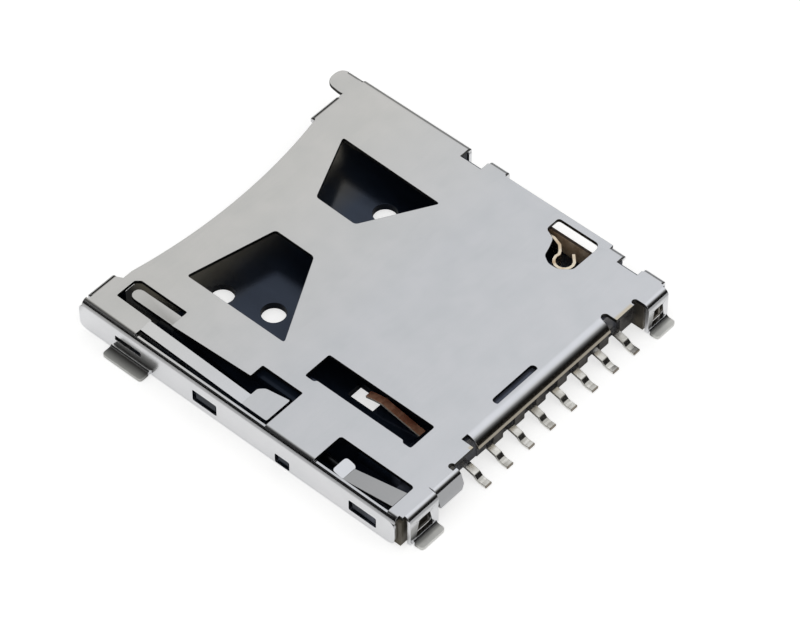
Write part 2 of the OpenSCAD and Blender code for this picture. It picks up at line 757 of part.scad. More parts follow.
function tail_path() = [
    [root_y + 0.25, strip_z], [rear_y - 0.64, strip_z], [rear_y - 0.55, strip_z - 0.01],
    [rear_y - 0.19, strip_z - 0.11], [rear_y - 0.06, contact_t / 2 + 0.06],
    [rear_y + 0.05, contact_t / 2 + 0.01], [rear_y + 0.15, contact_t / 2], [rear_y + tail_out, contact_t / 2]
];

module contact(i) {
    color("darkgoldenrod") translate([first_x - i * pitch, 0, 0]) {
        translate([-arm_w / 2, 0, 0]) along_x(arm_w) polygon(ribbon(arm_path(), contact_t));
        translate([-tail_w / 2, 0, 0]) along_x(tail_w) polygon(ribbon(tail_path(), contact_t));
    }
}

// Groove that the pin's end follows, seen from above
module cam_groove() {
    far_y = pin_y - travel;
    difference() {
        polygon([[pin_x - cam_wall, pin_y + cam_wall], [pin_x + cam_wall, pin_y + cam_wall],
            [return_x + cam_wall, pin_y - 1.05], [return_x + cam_wall, far_y - cam_wall],
            [pin_far[0] - cam_wall, far_y - cam_wall]]);
        polygon([[in_path(1.1) + cam_wall, pin_y - 1.1], [return_x - cam_wall, pin_y - 1.9],
            [return_x - cam_wall, far_y + 0.48], [heart_x(), far_y + 0.72],
            [in_path(travel - 0.48) + cam_wall, far_y + 0.48]]);
    }
}

// Where the pin's end stands in the way in, after the slider has moved by s
function in_path(s) = pin_x + (pin_far[0] - pin_x) * s / travel;
function heart_x() = (return_x + in_path(travel - 0.48)) / 2;

module slider() {
    color("#2a2b2e") {
        difference() {
            union() {
                block([slider_in, slider_front, slider_z], [slider_out, slider_rear, cam_top]);
                block([beam_in, beam_front, slider_z], [slider_out, slider_rear, cam_top]);
                block([slider_in, slider_front, slider_z], [rail_out, rail_rear, rail_top]);
                // Hook for the notch in the card's side
                block([card_x - hook_in, beam_front, card_z + 0.05],
                    [beam_in + eps, beam_front + hook_l, cam_top]);
            }
            translate([0, 0, cam_floor]) linear_extrude(1) cam_groove();
        }
        translate([spring_x, rail_rear - eps, spring_z]) rotate([-90, 0, 0])
            cylinder(r = peg_r, h = peg_l + eps);
    }
}

// Wire with one end down in its pivot and the other down in the groove
module cam_pin() {
    run = [pin_x - pivot_x, pin_y - pivot_y];
    color("silver") {
        translate([pivot_x, pivot_y, bore_z + pin_lift]) cylinder(r = pin_r, h = pin_z - bore_z - pin_lift);
        translate([pin_x, pin_y, cam_floor + pin_lift]) cylinder(r = pin_r, h = pin_z - cam_floor - pin_lift);
        translate([pivot_x, pivot_y, pin_z]) sphere(r = pin_r);
        translate([pin_x, pin_y, pin_z]) sphere(r = pin_r);
        translate([pivot_x, pivot_y, pin_z]) rotate([0, 0, atan2(run[1], run[0])]) rotate([0, 90, 0])
            cylinder(r = pin_r, h = norm(run));
    }
}

// Ring of points around the spring's wire, at step k of the coil
function coil_ring(k) =
    let (
        a = 360 * k / spring_steps,
        y = rail_rear + spring_wire / 2
            + (spring_seat - rail_rear - spring_wire) * k / (spring_turns * spring_steps)
    )
    [
        for (j = [0:spring_sides - 1])
            let (b = 360 * j / spring_sides, r = spring_r + spring_wire / 2 * cos(b))
            [spring_x + r * cos(a), y + spring_wire / 2 * sin(b), spring_z + r * sin(a)]
    ];

module eject_spring() {
    n = spring_turns * spring_steps;
    m = spring_sides;
    points = [for (k = [0:n]) for (p = coil_ring(k)) p];
    sides = [
        for (k = [0:n - 1])
            for (j = [0:m - 1])
                let (a = k * m + j, b = k * m + (j + 1) % m)
                [a, a + m, b + m, b]
    ];
    caps = [[for (j = [0:m - 1]) j], [for (j = [m - 1:-1:0]) n * m + j]];
    color("lightgray") polyhedron(points, concat(sides, caps), convexity = 10);
}

// Foot of a switch strip that runs out to the left and down to the board
module switch_foot(x, y) {
    drop_x = left_x - foot_lead;
    path = [[x, floor_t + switch_t / 2], [left_x + foot_lead, floor_t + switch_t / 2], [left_x, floor_t],
        [drop_x, switch_t], [drop_x - switch_t / 2, switch_t / 2], [left_x - tab_out, switch_t / 2]];
    translate([0, y + foot_w, 0]) rotate([90, 0, 0]) linear_extrude(foot_w) polygon(ribbon(path, switch_t));
}

module detect_spring() {
    path = concat(
        [[switch_x, switch_root], [switch_x, hook_y - hook_lead], [switch_x + 0.12, hook_y - 0.6],
            [switch_x + 0.34, hook_y - 0.4]],
        arc(hook_x - hook_r, hook_y, hook_r, hook_start, hook_end, 10),
        [[switch_x + 0.14, hook_y + 0.04]]
    );
    color("goldenrod") {
        translate([0, 0, switch_z]) linear_extrude(switch_top - switch_z) polygon(ribbon(path, switch_t));
        block([switch_x - switch_t / 2, switch_root, floor_t],
            [switch_x + switch_t / 2, switch_root + foot_w, switch_z + eps]);
        switch_foot(switch_x, switch_root);
    }
}

module detect_terminal() {
    color("goldenrod") {
        block([terminal_x - switch_t / 2, pocket_front - terminal_hold, floor_t],
            [terminal_x + switch_t / 2, pocket_rear + terminal_hold, switch_top]);
        switch_foot(terminal_x, pocket_rear - 0.05 - foot_w);
    }
}

shell();
housing();
for (i = [0:contact_count - 1])
    contact(i);
slider();
cam_pin();
eject_spring();
detect_spring();
detect_terminal();
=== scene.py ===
import math

import bmesh
import bpy
from mathutils import Matrix, Vector


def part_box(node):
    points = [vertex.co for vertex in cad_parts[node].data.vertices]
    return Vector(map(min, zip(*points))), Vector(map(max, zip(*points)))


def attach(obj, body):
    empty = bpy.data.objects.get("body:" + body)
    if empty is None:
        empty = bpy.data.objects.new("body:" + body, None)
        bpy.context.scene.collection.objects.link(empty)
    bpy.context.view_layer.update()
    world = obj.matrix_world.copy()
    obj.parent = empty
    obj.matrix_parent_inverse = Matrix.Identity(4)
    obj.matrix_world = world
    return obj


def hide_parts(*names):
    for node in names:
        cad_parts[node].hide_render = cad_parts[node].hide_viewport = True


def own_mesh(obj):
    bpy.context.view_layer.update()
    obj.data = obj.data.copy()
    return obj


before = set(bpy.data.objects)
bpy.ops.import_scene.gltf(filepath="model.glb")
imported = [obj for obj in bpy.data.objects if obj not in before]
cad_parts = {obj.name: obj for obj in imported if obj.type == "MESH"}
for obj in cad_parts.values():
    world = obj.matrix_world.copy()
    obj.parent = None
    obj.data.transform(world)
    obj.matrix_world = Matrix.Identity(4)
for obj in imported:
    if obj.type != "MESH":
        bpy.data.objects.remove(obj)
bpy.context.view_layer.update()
mm = 0.001
print("frame loaded:", len(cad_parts), "nodes")


# Small helpers

def linearColour(code):
    channels = [int(code[i:i + 2], 16) / 255 for i in (1, 3, 5)]
    return [c / 12.92 if c <= 0.04045 else ((c + 0.055) / 1.055) ** 2.4 for c in channels] + [1.0]


def addNode(tree, kind, settings=None, links=None):
    node = tree.nodes.new(kind)
    for key, value in (settings or {}).items():
        if key == "stops":  # of a colour ramp
            ramp = node.color_ramp
            for i, (at, colour) in enumerate(value):
                stop = ramp.elements[i] if i < 2 else ramp.elements.new(at)
                stop.position, stop.color = at, colour
        else:
            setattr(node, key, value)
    for key, value in (links or {}).items():
        if isinstance(value, bpy.types.Node):
            value = value.outputs[0]
        if isinstance(value, bpy.types.NodeSocket):
            tree.links.new(value, node.inputs[key])
        else:
            node.inputs[key].default_value = value
    return node


def alongAxes(tree, kind):
    # along X, Y and Z: the place on the piece ("Object") or the way that its face looks ("Normal")
    source = addNode(tree, "ShaderNodeTexCoord").outputs[kind]
    return addNode(tree, "ShaderNodeSeparateXYZ", links={0: source}).outputs


def addObject(name, mesh):
    piece = bpy.data.objects.new(name, mesh)
    bpy.context.scene.collection.objects.link(piece)
    return piece


# The larger of the faces that meet sets the normal, so that bends run into flats, and flats meet at a crease

shading = {
    "bend": 55,  # degrees up to which faces that meet share a normal, unless both are large flats
    "flat": 0.2 * mm * mm,  # the area from which a face counts as a large flat
    "level": 0.99999,  # the cosine from which two faces lie in one plane
}


def flatGroups(form):
    # faces that lie in one plane and touch, and the area of each such group
    group = {}
    areas = []
    for start in form.faces:
        if start in group:
            continue
        group[start] = len(areas)
        areas.append(0.0)
        waiting = [start]
        while waiting:
            face = waiting.pop()
            areas[-1] += face.calc_area()
            for edge in face.edges:
                for other in edge.link_faces:
                    if other not in group and other.normal.dot(face.normal) > shading["level"]:
                        group[other] = group[face]
                        waiting.append(other)
    return group, areas


def shadeLargeFacesFlat(mesh):
    form = bmesh.new()
    form.from_mesh(mesh)
    form.normal_update()
    group, areas = flatGroups(form)
    sizes = [area / shading["flat"] for area in areas]  # over 1 for a large flat
    bend = math.cos(math.radians(shading["bend"]))
    normals = []
    for face in form.faces:
        face.smooth = True
        own = group[face]
        for loop in face.loops:
            total = Vector((0, 0, 0))
            used = set()
            for other in loop.vert.link_faces:
                near = group[other]
                creased = near != own and min(sizes[own], sizes[near]) > 1
                if near not in used and not creased and other.normal.dot(face.normal) > bend:
                    used.add(near)
                    total += other.normal * sizes[near] ** 2
            normals.append(total.normalized() if total.length > 0 else face.normal.copy())
    form.to_mesh(mesh)
    form.free()
    mesh.normals_split_custom_set(normals)


def plainMesh(piece):
    # the evaluated result becomes the piece's own mesh, and its modifiers go
    evaluated = piece.evaluated_get(bpy.context.evaluated_depsgraph_get())
    mesh = bpy.data.meshes.new_from_object(evaluated)
    mesh.name = piece.name
    piece.modifiers.clear()
    piece.data = mesh


def outwards(mesh):
    # seams are closed before the faces are turned
    form = bmesh.new()
    form.from_mesh(mesh)
    bmesh.ops.remove_doubles(form, verts=form.verts, dist=0.0002 * mm)
    bmesh.ops.recalc_face_normals(form, faces=form.faces)
    form.to_mesh(mesh)
    form.free()


def keepInBox(mesh, node):
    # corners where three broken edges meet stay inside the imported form, and its top stays level
    low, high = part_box(node)
    nearTop = 0.001 * mm
    for vertex in mesh.vertices:
        for axis in range(3):
            vertex.co[axis] = min(max(vertex.co[axis], low[axis]), high[axis])
        if high[2] - vertex.co.z < nearTop:
            vertex.co.z = high[2]


def setMaterial(piece, material):
    piece.data.materials.clear()
    piece.data.materials.append(material)


# Camera, placed as the photograph was taken

camera = {
    "azimuth": 131.618,
    "elevation": 49.127,
    "distance": 141.806 * mm,
    "aside": 0.666 * mm,
    "up": 0.252 * mm,
    "focalPixels": 4143.09,
    "imageWidth": 800,
    "sensor": 36,
    "clip": (2 * mm, 20000 * mm),
}


def makeCamera():
    data = bpy.data.cameras.new("photoCamera")
    data.sensor_width = camera["sensor"]
    data.lens = camera["focalPixels"] * camera["sensor"] / camera["imageWidth"]
    data.clip_start, data.clip_end = camera["clip"]
    turn, rise = math.radians(camera["azimuth"]), math.radians(camera["elevation"])
    back = Vector((math.sin(turn) * math.cos(rise), -math.cos(turn) * math.cos(rise), math.sin(rise)))
    right = Vector((math.cos(turn), math.sin(turn), 0))
    up = back.cross(right)
    place = back * camera["distance"] + right * camera["aside"] + up * camera["up"]
    eye = bpy.data.objects.new("photoCamera", data)
    eye.matrix_world = Matrix((
        (right.x, up.x, back.x, place.x),
        (right.y, up.y, back.y, place.y),
        (right.z, up.z, back.z, place.z),
        (0, 0, 0, 1),
    ))
    bpy.context.scene.collection.objects.link(eye)
    bpy.context.scene.camera = eye


makeCamera()
print("camera placed")


# Light: a white table and one large softbox over it, behind the part as the camera sees it

studio = {
    "fill": 0.72,
    "keyPower": 0.0105,
    "keySize": 120 * mm,
    "keyPlace": (-60 * mm, 70 * mm, 150 * mm),
    "tableSize": 1200 * mm,
    "tableGap": 0.004 * mm,
    "tableColour": "#e4e4e3",
    "tableSeen": 0.62,
    "tableGlow": 0.49,
    # light that the walls throw on the table and mirror again, by the distance from the middle over glowReach
    "glowReach": 12 * mm,
    "glow": [(0.58, 0.0), (0.60, 1.0), (0.652, 1.0), (0.672, 0.45), (0.77, 0.0)],
    "softboxSide": (-0.45, -0.07, 0.89),
    # what metal sees, from the cosine of the angle to the middle of the softbox
    "reflected": [
        (0.00, "#050504"), (0.55, "#080706"), (0.64, "#1b1a18"), (0.70, "#3e3e3c"),
        (0.766, "#656462"), (0.857, "#a09f9b"), (0.883, "#c4c3c0"), (0.91, "#dbdbd9"),
        (0.935, "#e2e2e1"), (0.95, "#eaebec"), (0.972, "#f6f6f6"),
    ],
    # panels that other views and the far fold see in the metal: side, cosines of the rim and core, strength
    "panels": [
        ((0.5, 0.55, 0.67), (0.80, 0.93), 0.5),
        ((0.3, -0.85, 0.43), (0.86, 0.95), 0.5),
        ((0, 0, -1), (0.0, 0.2), 0.45),
        ((-0.80, -0.435, 0.41), (0.90, 0.97), 0.2),
    ],
}


def makeWorld():
    world = bpy.data.worlds.new("studio")
    bpy.context.scene.world = world
    world.use_nodes = True
    tree = world.node_tree
    tree.nodes.clear()
    path = addNode(tree, "ShaderNodeLightPath")
    direction = addNode(tree, "ShaderNodeTexCoord")
    nearness = addNode(tree, "ShaderNodeVectorMath", {"operation": "DOT_PRODUCT"}, {
        0: direction.outputs["Generated"],
        1: Vector(studio["softboxSide"]).normalized(),
    })
    stops = [(at, linearColour(code)) for at, code in studio["reflected"]]
    ramp = addNode(tree, "ShaderNodeValToRGB", {"stops": stops}, {0: nearness.outputs["Value"]})
    panels = 0.0
    for side, (rim, core), strength in studio["panels"]:
        toward = addNode(tree, "ShaderNodeVectorMath", {"operation": "DOT_PRODUCT"}, {
            0: direction.outputs["Generated"], 1: Vector(side).normalized(),
        })
        panel = addNode(tree, "ShaderNodeMapRange", links={
            0: toward.outputs["Value"], 1: rim, 2: core, 3: 0.0, 4: strength,
        })
        panels = addNode(tree, "ShaderNodeMath", {"operation": "ADD"}, {0: panel, 1: panels})
    around = addNode(tree, "ShaderNodeMix", {"data_type": "RGBA", "blend_type": "ADD"}, {
        0: 1.0, 6: ramp, 7: panels,
    })
    fill = addNode(tree, "ShaderNodeBackground", links={"Strength": studio["fill"]})
    room = addNode(tree, "ShaderNodeBackground", links={"Color": around.outputs[2]})
    white = addNode(tree, "ShaderNodeBackground", links={"Color": (1, 1, 1, 1)})
    glossy = addNode(tree, "ShaderNodeMixShader", links={
        0: path.outputs["Is Glossy Ray"], 1: fill, 2: room,
    })
    seen = addNode(tree, "ShaderNodeMath", {"operation": "MAXIMUM"},
                   {0: path.outputs["Is Camera Ray"], 1: path.outputs["Is Transmission Ray"]})
    mixed = addNode(tree, "ShaderNodeMixShader", links={0: seen, 1: glossy, 2: white})
    addNode(tree, "ShaderNodeOutputWorld", links={"Surface": mixed})


def makeTable():
    material = bpy.data.materials.new("paleTable")
    material.use_nodes = True
    tree = material.node_tree
    tree.nodes.clear()
    path = addNode(tree, "ShaderNodeLightPath")
    direct = addNode(tree, "ShaderNodeMath", {"operation": "MAXIMUM"},
                     {0: path.outputs["Is Camera Ray"], 1: path.outputs["Is Transmission Ray"]})
    seen = addNode(tree, "ShaderNodeMath", {"operation": "MULTIPLY"}, {0: direct, 1: studio["tableSeen"]})
    # beside the part, not under it, the bright walls light the table once more
    place = alongAxes(tree, "Object")
    aside = addNode(tree, "ShaderNodeMath", {"operation": "ABSOLUTE"}, {0: place["X"]})
    along = addNode(tree, "ShaderNodeMath", {"operation": "ABSOLUTE"}, {0: place["Y"]})
    away = addNode(tree, "ShaderNodeMath", {"operation": "MAXIMUM"}, {0: aside, 1: along})
    reach = addNode(tree, "ShaderNodeMath", {"operation": "DIVIDE"}, {0: away, 1: studio["glowReach"]})
    stops = [(at, (share, share, share, 1)) for at, share in studio["glow"]]
    glow = addNode(tree, "ShaderNodeValToRGB", {"stops": stops}, {0: reach})
    lit = addNode(tree, "ShaderNodeMath", {"operation": "MULTIPLY"}, {0: glow, 1: studio["tableGlow"]})
    reflected = addNode(tree, "ShaderNodeMath", {"operation": "MULTIPLY_ADD"},
                        {0: path.outputs["Is Glossy Ray"], 1: lit, 2: seen})
    paper = addNode(tree, "ShaderNodeBsdfDiffuse", links={"Color": linearColour(studio["tableColour"])})
    shine = addNode(tree, "ShaderNodeEmission", links={"Strength": reflected})
    both = addNode(tree, "ShaderNodeAddShader", links={0: paper, 1: shine})
    # clear from below, and to the faces that stand on it, so that the underside can be looked at
    touching = addNode(tree, "ShaderNodeMath", {"operation": "LESS_THAN"}, {
        0: path.outputs["Ray Length"], 1: studio["tableGap"] * 5,
    })
    clear = addNode(tree, "ShaderNodeMath", {"operation": "MAXIMUM"},
                    {0: addNode(tree, "ShaderNodeNewGeometry").outputs["Backfacing"], 1: touching})
    sides = addNode(tree, "ShaderNodeMixShader", links={
        0: clear, 1: both, 2: addNode(tree, "ShaderNodeBsdfTransparent"),
    })
    addNode(tree, "ShaderNodeOutputMaterial", links={"Surface": sides})
    half, top = studio["tableSize"] / 2, -studio["tableGap"]
    mesh = bpy.data.meshes.new("table")
    corners = [(x * half, y * half, top) for x, y in ((-1, -1), (1, -1), (1, 1), (-1, 1))]
    mesh.from_pydata(corners, [], [(0, 1, 2, 3)])
    table = addObject("table", mesh)
    setMaterial(table, material)


def makeLamp():
    data = bpy.data.lights.new("softbox", "AREA")
    data.shape = "SQUARE"
    data.size = studio["keySize"]
    data.energy = studio["keyPower"]
    lamp = bpy.data.objects.new("softbox", data)
    lamp.location = studio["keyPlace"]
    lamp.rotation_euler = (-Vector(studio["keyPlace"])).to_track_quat("-Z", "Y").to_euler()
    lamp.visible_glossy = False
    bpy.context.scene.collection.objects.link(lamp)


makeWorld()
makeTable()
makeLamp()
bpy.context.scene.view_settings.view_transform = "Standard"
print("studio ready")


# Materials

upright = 0.3  # a face counts as upright where the share of Z in its normal is less than this


def newMaterial(name, colour, metallic, roughness, ior=None):
    # plain values first: each finish links its patterns over them
    material = bpy.data.materials.new(name)
    material.use_nodes = True
    tree = material.node_tree
    tree.nodes.clear()
    shader = addNode(tree, "ShaderNodeBsdfPrincipled", links={
        "Base Color": linearColour(colour), "Metallic": metallic, "Roughness": roughness,
    })
    if ior:
        shader.inputs["IOR"].default_value = ior
    addNode(tree, "ShaderNodeOutputMaterial", links={"Surface": shader})
    place = addNode(tree, "ShaderNodeTexCoord").outputs["Object"]
    return material, tree, shader, place


def blend(tree, factor, first, second, low=0.35, high=0.65):
    # from the first value or colour to the second, as the factor goes from low to high
    first, second = (linearColour(value) if isinstance(value, str) else value for value in (first, second))
    if any(isinstance(value, list) or getattr(value, "type", "") == "RGBA" for value in (first, second)):
        share = addNode(tree, "ShaderNodeMapRange", links={0: factor, 1: low, 2: high})
        mixed = addNode(tree, "ShaderNodeMix", {"data_type": "RGBA"}, {0: share, 6: first, 7: second})
        return mixed.outputs[2]
    return addNode(tree, "ShaderNodeMapRange", links={
        0: factor, 1: low, 2: high, 3: first, 4: second,
    }).outputs[0]


def paint(shader, socket, factor, first, second, low=0.35, high=0.65):
    tree = shader.id_data
    tree.links.new(blend(tree, factor, first, second, low, high), shader.inputs[socket])


sheetFinish = {
    "colour": "#e6e6e8",
    "dull": "#e1e2e4",
    "wear": (0.5, 0.85),
    # painted reflection colour: the plate is a little yellower at the mouth and bluer behind it, along Y
    "paintedReflectionTint": ("#fffefb", "#f7f9fd"),
    "tintReach": (-5.5 * mm, 0.5 * mm),
    "roughness": (0.15, 0.18),
    "blotch": 1.3 * mm,
    "grain": 0.05 * mm,  # rolling lines are finer than this, and are drawn wide enough to show
    "grainStretch": (0.06, 1, 1),
    "grainShare": 0.35,
    "grainDepth": 0.000004 * mm,
    # the feet are dipped in tin, which is duller, and are painted dark in the fold beside the wall as painted
    # shade
    "foldShade": "#302f2d",
    "tinned": "#efefeb",
    "tinnedMetallic": 0.4,
    "tinnedRoughness": 0.42,
    "sideFeet": (7.2 * mm, 7.75 * mm),
    "rearFeet": (7.42 * mm, 7.6 * mm),
    "feetTop": 0.3 * mm,
    # the cut edges of the plate, which is all above its underside: rougher bare steel, painted near black as
    # painted shade
    "shadedCutEdge": "#3b3a38",
    "shearedRoughness": 0.5,
    "underside": 1.272 * mm,
    # over the rear comb, round a middle in X, the plate is painted straw-coloured: a painted reflection of
    # the comb and tails below it
    "strawReflection": "#d9d0bf",
    "rearEdge": (6.72 * mm, 6.8 * mm),
    "rearCover": (-0.95 * mm, 4.2 * mm),
}


def satinNickel():
    # rolled and stamped stainless sheet, plated with satin nickel: a soft grey mirror with faint lines
    finish = sheetFinish
    material, tree, shader, place = newMaterial("satinNickel", finish["colour"], 1.0, 0.16)
    at, facing = alongAxes(tree, "Object"), alongAxes(tree, "Normal")
    blotch = addNode(tree, "ShaderNodeTexNoise", links={
        "Vector": place, "Scale": 1 / finish["blotch"], "Detail": 5,
    })
    rolled = addNode(tree, "ShaderNodeMapping", links={"Vector": place, "Scale": finish["grainStretch"]})
    lines = addNode(tree, "ShaderNodeTexNoise", links={
        "Vector": rolled, "Scale": 1 / finish["grain"], "Detail": 2,
    })
    worn = addNode(tree, "ShaderNodeMath", {"operation": "MULTIPLY_ADD"}, {
        0: lines, 1: finish["grainShare"], 2: blotch,
    })
    even = blend(tree, worn, finish["colour"], finish["dull"], *finish["wear"])
    # painted reflection colour on the faces that look up: warm at the mouth, cold behind
    paintedReflectionTint = blend(tree, at["Y"], *finish["paintedReflectionTint"], *finish["tintReach"])
    tinted = addNode(tree, "ShaderNodeMix", {"data_type": "RGBA", "blend_type": "MULTIPLY"}, {
        0: facing["Z"], 6: even, 7: paintedReflectionTint,
    })

    # painted reflection: a straw colour on the rear flap over the comb
    middle, reach = finish["rearCover"]
    across = addNode(tree, "ShaderNodeMath", {"operation": "COMPARE"}, {0: at["X"], 1: middle, 2: reach})
    behind = blend(tree, at["Y"], 0.0, 1.0, *finish["rearEdge"])
    strawReflection = addNode(tree, "ShaderNodeMath", {"operation": "MULTIPLY"}, {0: across, 1: behind})
    platedWithReflections = blend(tree, strawReflection, tinted.outputs[2], finish["strawReflection"], 0, 1)

    edgeOn = addNode(tree, "ShaderNodeMath", {"operation": "COMPARE"}, {0: facing["Z"], 1: 0.0, 2: upright})
    high = addNode(tree, "ShaderNodeMath", {"operation": "GREATER_THAN"}, {
        0: at["Z"], 1: finish["underside"],
    })
    # painted shade: the cut edges and hole rims are painted near black
    shadedCutEdge = addNode(tree, "ShaderNodeMath", {"operation": "MULTIPLY"}, {0: edgeOn, 1: high})
    cut = blend(tree, shadedCutEdge, platedWithReflections, finish["shadedCutEdge"], 0, 1)
    shine = blend(tree, blotch, *finish["roughness"])
    rough = blend(tree, shadedCutEdge, shine, finish["shearedRoughness"], 0, 1)

    # how far out from the walls the feet reach
    aside = addNode(tree, "ShaderNodeMath", {"operation": "ABSOLUTE"}, {0: at["X"]})
    sideways = blend(tree, aside, 0.0, 1.0, *finish["sideFeet"])
    backwards = blend(tree, at["Y"], 0.0, 1.0, *finish["rearFeet"])
    out = addNode(tree, "ShaderNodeMath", {"operation": "MAXIMUM"}, {0: sideways, 1: backwards})
    outside = addNode(tree, "ShaderNodeMath", {"operation": "GREATER_THAN"}, {0: out, 1: 0.0})
    low = addNode(tree, "ShaderNodeMath", {"operation": "LESS_THAN"}, {0: at["Z"], 1: finish["feetTop"]})
    foot = addNode(tree, "ShaderNodeMath", {"operation": "MULTIPLY"}, {0: outside, 1: low})
    # painted shade: the feet are dark next to the wall and take the tin colour further out
    tinned = blend(tree, out, finish["foldShade"], finish["tinned"], 0, 1)

    paint(shader, "Base Color", foot, cut, tinned, 0, 1)
    paint(shader, "Metallic", foot, 1.0, finish["tinnedMetallic"], 0, 1)
    paint(shader, "Roughness", foot, rough, finish["tinnedRoughness"], 0, 1)
    relief = addNode(tree, "ShaderNodeBump", links={"Height": lines, "Distance": finish["grainDepth"]})
    tree.links.new(relief.outputs[0], shader.inputs["Normal"])
    return material


polymerFinish = {
    "ior": 1.76,
    # by the place along Y in mm: black, lighter grey further back, and a warmer grey at the rear edge
    "colour": [(5.5, "#1b222d"), (5.9, "#5a5e69"), (6.4, "#5a5e69"), (6.8, "#746e61")],
    # by the place along Y in mm: a painted reflection colour, cold over the middle, and warmer at the mouth
    # and the rear comb
    "paintedGlossColour": [(-5.3, "#fff4d8"), (-3.9, "#b7cbf0"), (6.1, "#b7cbf0"), (6.5, "#e6d5bb")],
    "half": 8,
    # the lane beside the card and the inner walls, as of the round holes, shine less: painted shade where
    # they lie in shadow
    "shine": (0.5, 0.1),
    "shadedLane": (4.6 * mm, 5.0 * mm),
    "rearWall": 5.9 * mm,
    "roughness": (0.14, 0.24),
    "flow": ("#ffffff", "#9a9da6"),
    "streak": 0.9 * mm,
    "streakStretch": (1, 0.35, 1),
    "texture": 0.03 * mm,
    "textureDepth": 0.0004 * mm,
}


def blackPolymer():
    # black liquid-crystal polymer, moulded in a polished tool: deep black, a gloss in a painted cold
    # reflection colour, and faint flow marks
    finish = polymerFinish
    clean = finish["colour"][0][1]
    material, tree, shader, place = newMaterial("blackPolymer", clean, 0.0, 0.2, finish["ior"])
    at, facing = alongAxes(tree, "Object"), alongAxes(tree, "Normal")
    half = finish["half"]
    share = addNode(tree, "ShaderNodeMapRange", links={0: at["Y"], 1: -half * mm, 2: half * mm})
    paintedGlossColour, moulded = [
        addNode(tree, "ShaderNodeValToRGB", {
            "stops": [(0.5 + y / half / 2, linearColour(code)) for y, code in finish[key]],
        }, {0: share})
        for key in ("paintedGlossColour", "colour")
    ]
    # painted reflection colour, set by the place along Y
    tree.links.new(paintedGlossColour.outputs[0], shader.inputs["Specular Tint"])

    # painted shade: less shine on the inner walls and in the lane beside the card
    edgeOn = addNode(tree, "ShaderNodeMath", {"operation": "COMPARE"}, {0: facing["Z"], 1: 0.0, 2: upright})
    inner = addNode(tree, "ShaderNodeMath", {"operation": "LESS_THAN"}, {0: at["Y"], 1: finish["rearWall"]})
    shadedWalls = addNode(tree, "ShaderNodeMath", {"operation": "MULTIPLY"}, {0: edgeOn, 1: inner})
    level = blend(tree, at["X"], *finish["shine"], *finish["shadedLane"])
    paint(shader, "Specular IOR Level", shadedWalls, level, finish["shine"][1], 0, 1)

    flowing = addNode(tree, "ShaderNodeMapping", links={"Vector": place, "Scale": finish["streakStretch"]})
    flow = addNode(tree, "ShaderNodeTexNoise", links={
        "Vector": flowing, "Scale": 1 / finish["streak"], "Detail": 5,
    })
    tone = addNode(tree, "ShaderNodeMix", {"data_type": "RGBA", "blend_type": "MULTIPLY"}, {
        0: 1.0, 6: moulded, 7: blend(tree, flow, *finish["flow"]),
    })
    tree.links.new(tone.outputs[2], shader.inputs["Base Color"])
    paint(shader, "Roughness", flow, *finish["roughness"])
    texture = addNode(tree, "ShaderNodeTexNoise", links={"Vector": place, "Scale": 1 / finish["texture"]})
    relief = addNode(tree, "ShaderNodeBump", links={"Height": texture, "Distance": finish["textureDepth"]})
    tree.links.new(relief.outputs[0], shader.inputs["Normal"])
    return material


stripFinish = {
    # the oxide on the arms scatters light as paint does
    "arm": ("#f0b493", "#b9775c"),
    "armWear": (0.42, 0.62),
    "armMetallic": 0.35,
    "armSideHighlight": "#fff4e6",
    "sideFacing": (0.5, 0.8),
    "tin": ("#e6e5e1", "#cbc9c3"),
    "changeover": (5.2 * mm, 5.4 * mm),
    "bareEnd": "#7d7468",
    "endReach": (7.55 * mm, 7.59 * mm),
    "roughness": (0.17, 0.3),
    "blotch": 0.35 * mm,
}


def contactStrip():
    # stamped copper alloy: bare and browned on the spring arms, matt tin on the tails, bare where sheared off
    finish = stripFinish
    material, tree, shader, place = newMaterial("contactStrip", finish["arm"][0], 1.0, 0.3)
    at, facing = alongAxes(tree, "Object"), alongAxes(tree, "Normal")
    blotch = addNode(tree, "ShaderNodeTexNoise", links={
        "Vector": place, "Scale": 1 / finish["blotch"], "Detail": 4,
    })
    flat = blend(tree, blotch, *finish["arm"], *finish["armWear"])
    # painted highlight: the sides that face +X are painted pale along the arms
    arm = blend(tree, facing["X"], flat, finish["armSideHighlight"], *finish["sideFacing"])
    tin = blend(tree, blotch, *finish["tin"])
    strip = blend(tree, at["Y"], arm, tin, *finish["changeover"])
    paint(shader, "Base Color", at["Y"], strip, finish["bareEnd"], *finish["endReach"])
    paint(shader, "Metallic", at["Y"], finish["armMetallic"], 1.0, *finish["changeover"])
    paint(shader, "Roughness", blotch, *finish["roughness"])
    return material


goldFinish = {
    "colour": ("#f9edd8", "#dabd9a"),
    "wear": (0.48, 0.72),
    "roughness": (0.18, 0.3),
    "blotch": 0.3 * mm,
}


def thinGold():
    # copper alloy with a thin gold plate: pale, warm and bright, browner where the plate is thin
    finish = goldFinish
    material, tree, shader, place = newMaterial("thinGold", finish["colour"][0], 1.0, 0.22)
    blotch = addNode(tree, "ShaderNodeTexNoise", links={
        "Vector": place, "Scale": 1 / finish["blotch"], "Detail": 3,
    })
    paint(shader, "Base Color", blotch, *finish["colour"], *finish["wear"])
    paint(shader, "Roughness", blotch, *finish["roughness"])
    return material


bronzeFinish = {
    "colour": ("#f0dcc4", "#c4a98b"),
    "metallic": 0.4,
    "shadedCutEdge": "#3d2e22",
    "topFacing": (0.5, 0.8),
    "roughness": (0.4, 0.55),
    "blotch": 0.25 * mm,
}


